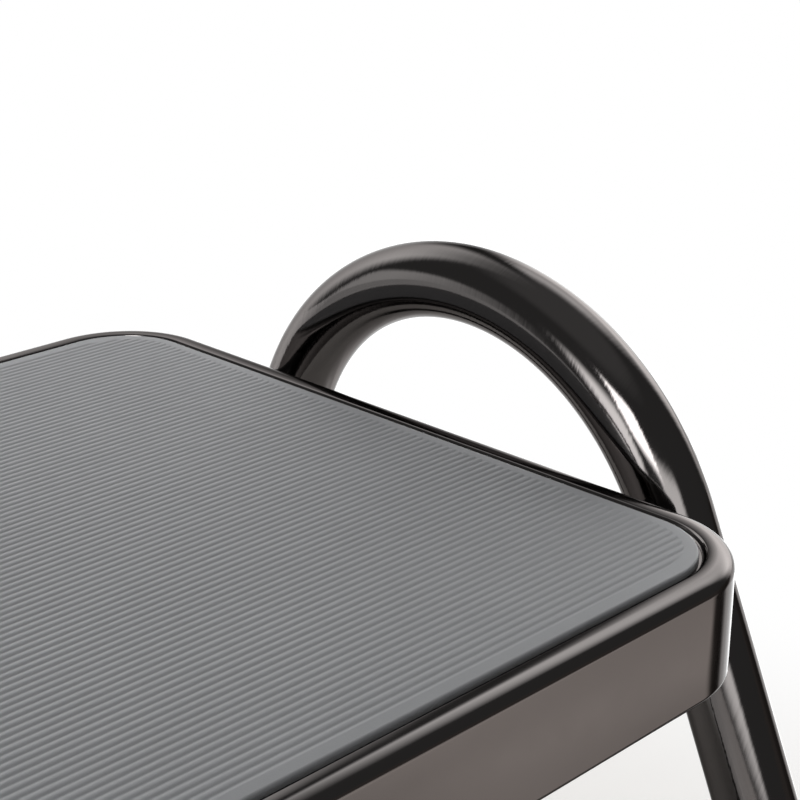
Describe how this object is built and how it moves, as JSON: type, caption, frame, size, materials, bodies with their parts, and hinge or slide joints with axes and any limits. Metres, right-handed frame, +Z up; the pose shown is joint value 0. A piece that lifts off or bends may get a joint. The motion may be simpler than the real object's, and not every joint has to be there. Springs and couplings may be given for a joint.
{
  "type": "step platform",
  "caption": "Low step platform: pressed metal deck with a ribbed rubber mat, carried at each end by a bent tube that is a hand hoop above and splayed legs below.",
  "frame": {"origin": "on the floor, under the middle of the deck", "axes": "+X along the deck towards the pictured hoop, +Y to the rear, +Z up"},
  "size_m": [0.4574, 0.3944, 0.2778],
  "materials": {
    "black_chrome": "bright black chrome plating",
    "mat_rubber": "matt grey moulded rubber",
    "foot_rubber": "matt black moulded rubber",
    "spacer_plastic": "fine-textured black nylon",
    "black_paint": "satin black paint",
    "zinc_steel": "bright zinc plating"
  },
  "bodies": {
    "root": {"deck_pan": "black_chrome", "tread_mat": "mat_rubber", "hoop_right": "black_chrome", "hoop_left": "black_chrome", "foot_right_rear": "foot_rubber", "foot_right_front": "foot_rubber", "foot_left_rear": "foot_rubber", "foot_left_front": "foot_rubber", "foot_discs": "zinc_steel", "spacer_right_rear": "spacer_plastic", "spacer_right_front": "spacer_plastic", "spacer_left_rear": "spacer_plastic", "spacer_left_front": "spacer_plastic", "end_plate_right": "black_paint", "end_plate_left": "black_paint", "deck_rail_front": "black_paint", "deck_rail_rear": "black_paint", "hoop_bolts": "zinc_steel", "plate_washers": "zinc_steel", "dowel_nuts": "zinc_steel"}
  },
  "joints": []
}
